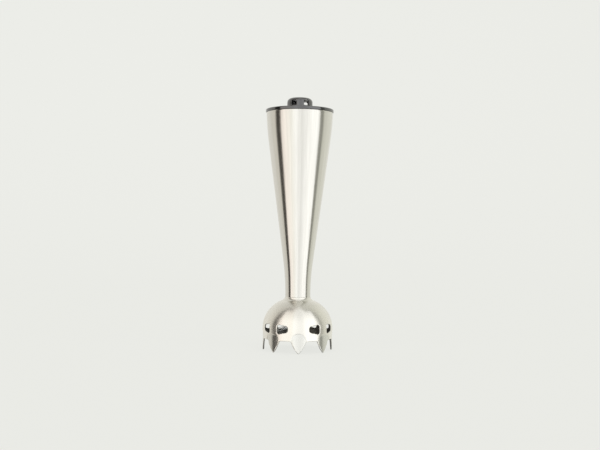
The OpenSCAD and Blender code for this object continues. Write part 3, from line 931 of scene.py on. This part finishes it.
@dataclass
class Studio:
    """Pale floor, seamless backdrop, soft light all round and the camera of the photo.

    The camera stands distance_mm from the axis at height_mm, moved to its right by aside_mm and
    turned about its own line of sight by roll. Angles are in degrees.
    """

    paper: str = "4b4b4a"
    paper_glow: str = "ecede8"
    glow_level: float = 0.9
    distance_mm: float = 755.0
    height_mm: float = 103.4
    aside_mm: float = 1.2
    azimuth: float = -2.0
    roll: float = 0.62
    lens_mm: float = 54.5
    sensor_mm: float = 36.0
    clip_m: tuple[float, float] = (0.01, 20.0)
    bowl_r_mm: float = 1600.0
    bowl_round_mm: float = 700.0
    bowl_wall_mm: float = 4000.0
    bowl_rings_mm: tuple[float, ...] = (0.05, 150.0, 500.0)
    bowl_rows: int = 24
    bowl_steps: int = 96
    # Light round the shaft: angle from the camera in degrees, positive to the right, level, tint.
    lights: tuple[tuple[float, float, str], ...] = (
        (-180, 1.00, "f6f5f0"), (-125, 1.02, "f6f4ee"), (-94, 0.94, "f6f1e8"), (-89, 0.11, "d8d0c4"),
        (-71.5, 0.11, "d8d0c4"), (-67, 1.42, "fff5ef"), (-54, 1.44, "fff8f3"), (-38, 1.44, "fffbf6"),
        (-27, 1.36, "fffefa"), (-14, 1.54, "ffffff"), (1, 1.34, "ffffff"), (9, 1.27, "ffffff"),
        (20, 1.33, "ffffff"), (31, 1.48, "ffffff"), (42, 1.58, "ffffff"), (73, 1.58, "ffffff"),
        (77, 0.47, "e2e2d6"), (90, 0.47, "e2e2d6"), (94, 0.94, "f2f2e8"), (125, 1.06, "f5f5ec"),
        (180, 1.00, "f6f5f0"))
    # The ramp of the lights holds colours up to 1, so they go in divided by this.
    light_gain: float = 2.0
    # Share of the light that is left straight below, and where it starts and ends to fall.
    under_share: float = 0.4
    under_start: float = -0.4
    under_end: float = -0.62
    # Share of the light that is left straight above, and where it starts and ends to fall.
    above_share: float = 0.8
    above_start: float = 0.45
    above_end: float = 0.95

    def floor(self) -> bpy.types.Object:
        """Makes the floor and backdrop as one bowl.

        Its profile is flat out to the bowl's radius less the rounding, then a quarter circle
        of the rounding's radius, then a straight wall.

        Returns:
            The bowl, which belongs to the stage.
        """
        t = np.linspace(0, math.pi / 2, self.bowl_rows)
        flat, bend_r = self.bowl_r_mm - self.bowl_round_mm, self.bowl_round_mm
        inner = np.array([[ring, 0.0] for ring in self.bowl_rings_mm])
        bend = np.stack([flat + bend_r * np.sin(t), bend_r * (1 - np.cos(t))], axis=1)
        wall = np.array([[self.bowl_r_mm, self.bowl_wall_mm]])
        # From the wall inwards, so that the faces look up and in.
        profile = np.concatenate([inner, bend, wall])[::-1]
        bowl = lathe("studio_bowl", profile, self.bowl_steps, closed=False)
        material = bpy.data.materials.new("studio_paper")
        tree = new_tree(material)
        paper = add_node(tree, "ShaderNodeBsdfDiffuse", {"Color": linear(self.paper)})
        glow = add_node(tree, "ShaderNodeEmission",
                        {"Color": linear(self.paper_glow), "Strength": self.glow_level})
        both = add_node(tree, "ShaderNodeAddShader", {0: paper.outputs[0], 1: glow.outputs[0]})
        add_node(tree, "ShaderNodeOutputMaterial", {0: both.outputs[0]})
        bowl.data.materials.append(material)
        bowl.visible_glossy = False
        bowl.visible_diffuse = False
        bowl.visible_shadow = False
        return bowl

    def light(self) -> None:
        """Makes the soft light that the steel mirrors.

        The level depends on the angle round the axis: angle = arctan2(x, -y), counted from the
        camera's side, looked up in the list of lights. From steeply below, where a table would
        stand, it falls to a smaller share, and a little from above.
        """
        world = bpy.data.worlds.new("studio_light")
        bpy.context.scene.world = world
        tree = new_tree(world)
        way = add_node(tree, "ShaderNodeTexCoord").outputs["Generated"]
        parts = add_node(tree, "ShaderNodeSeparateXYZ", {0: way})
        back = add_node(tree, "ShaderNodeMath", {0: parts.outputs[1], 1: -1.0}, operation="MULTIPLY")
        turn = add_node(tree, "ShaderNodeMath", {0: parts.outputs[0], 1: back.outputs[0]},
                        operation="ARCTAN2")
        share = add_node(tree, "ShaderNodeMath",
                         {0: turn.outputs[0], 1: 1 / (2 * math.pi), 2: 0.5 - self.azimuth / 360},
                         operation="MULTIPLY_ADD")
        wrapped = add_node(tree, "ShaderNodeMath", {0: share.outputs[0]}, operation="FRACT")
        colours = add_node(tree, "ShaderNodeValToRGB", {0: wrapped.outputs[0]})
        stops = colours.color_ramp.elements
        while len(stops) < len(self.lights):
            stops.new(0.5)
        for stop, (angle, level, colour) in zip(stops, self.lights):
            stop.position = angle / 360 + 0.5
            stop.color = [level * part / self.light_gain for part in linear(colour)[:3]] + [1.0]
        under = add_node(tree, "ShaderNodeMapRange",
                         {0: parts.outputs[2], 1: self.under_end, 2: self.under_start,
                          3: self.light_gain * self.under_share, 4: self.light_gain},
                         interpolation_type="SMOOTHSTEP")
        above = add_node(tree, "ShaderNodeMapRange",
                         {0: parts.outputs[2], 1: self.above_start, 2: self.above_end,
                          3: 1.0, 4: self.above_share}, interpolation_type="SMOOTHSTEP")
        level = add_node(tree, "ShaderNodeMath", {0: under.outputs[0], 1: above.outputs[0]},
                         operation="MULTIPLY")
        glow = add_node(tree, "ShaderNodeBackground", {0: colours.outputs[0], 1: level.outputs[0]})
        add_node(tree, "ShaderNodeOutputWorld", {0: glow.outputs[0]})

    def camera(self) -> bpy.types.Object:
        """Places the camera where the photo was taken from.

        Returns:
            The camera, which is the scene's own.
        """
        turn = math.radians(self.azimuth)
        back = Vector((math.sin(turn), -math.cos(turn), 0.0))
        right = Vector((math.cos(turn), math.sin(turn), 0.0))
        lens = bpy.data.cameras.new("photo_camera")
        lens.lens = self.lens_mm
        lens.sensor_width = self.sensor_mm
        lens.clip_start, lens.clip_end = self.clip_m
        eye = bpy.data.objects.new("photo_camera", lens)
        bpy.context.scene.collection.objects.link(eye)
        eye.location = (back * self.distance_mm + right * self.aside_mm
                        + Vector((0, 0, self.height_mm))) * MM
        eye.rotation_mode = "QUATERNION"
        aim = (-back).to_track_quat("-Z", "Y")
        eye.rotation_quaternion = aim @ Quaternion((0, 0, 1), math.radians(self.roll))
        bpy.context.scene.camera = eye
        return eye

    def build(self) -> None:
        """Sets up the whole studio."""
        bpy.context.scene.view_settings.view_transform = "Standard"
        self.floor()
        self.light()
        self.camera()


def main() -> None:
    """Builds and dresses the shaft, then sets up the studio."""
    logging.basicConfig(level=logging.INFO, format="%(name)s: %(message)s")
    # Polished in the mould: it mirrors more of the room than plain ABS, so its IOR is above 1.5.
    black = Moulding("black_gloss_abs", "08090b", 0.09, ior=2.1)
    # Turned stainless is a duller grey than sheet, and the blade is ground lighter and smoother.
    turned = TurnedMetal("turned_stainless", "b9b8b3", 0.24)
    ground = TurnedMetal("ground_blade_steel", "c9c9c6", 0.2)
    # Sintered bronze is brown and matt, and spring steel is dark from its hardening.
    bronze = TurnedMetal("sintered_bronze", "a9834f", 0.38)
    spring = TurnedMetal("spring_steel", "8c8c8a", 0.3)
    # Acetal is waxy and half matt, and the seals are of dull black rubber.
    acetal = Moulding("grey_acetal", "3c3d40", 0.4)
    rubber = Moulding("seal_rubber", "141414", 0.6)
    Tube(BrushedSteel()).build()
    Bell(SatinSteel()).build()
    EndCap(black).build()
    Collar(black).build()
    BladeSet(turned, ground).build()
    InnerWorks(bronze, turned, spring, acetal, rubber).build()
    Studio().build()


if __name__ == "__main__":
    main()
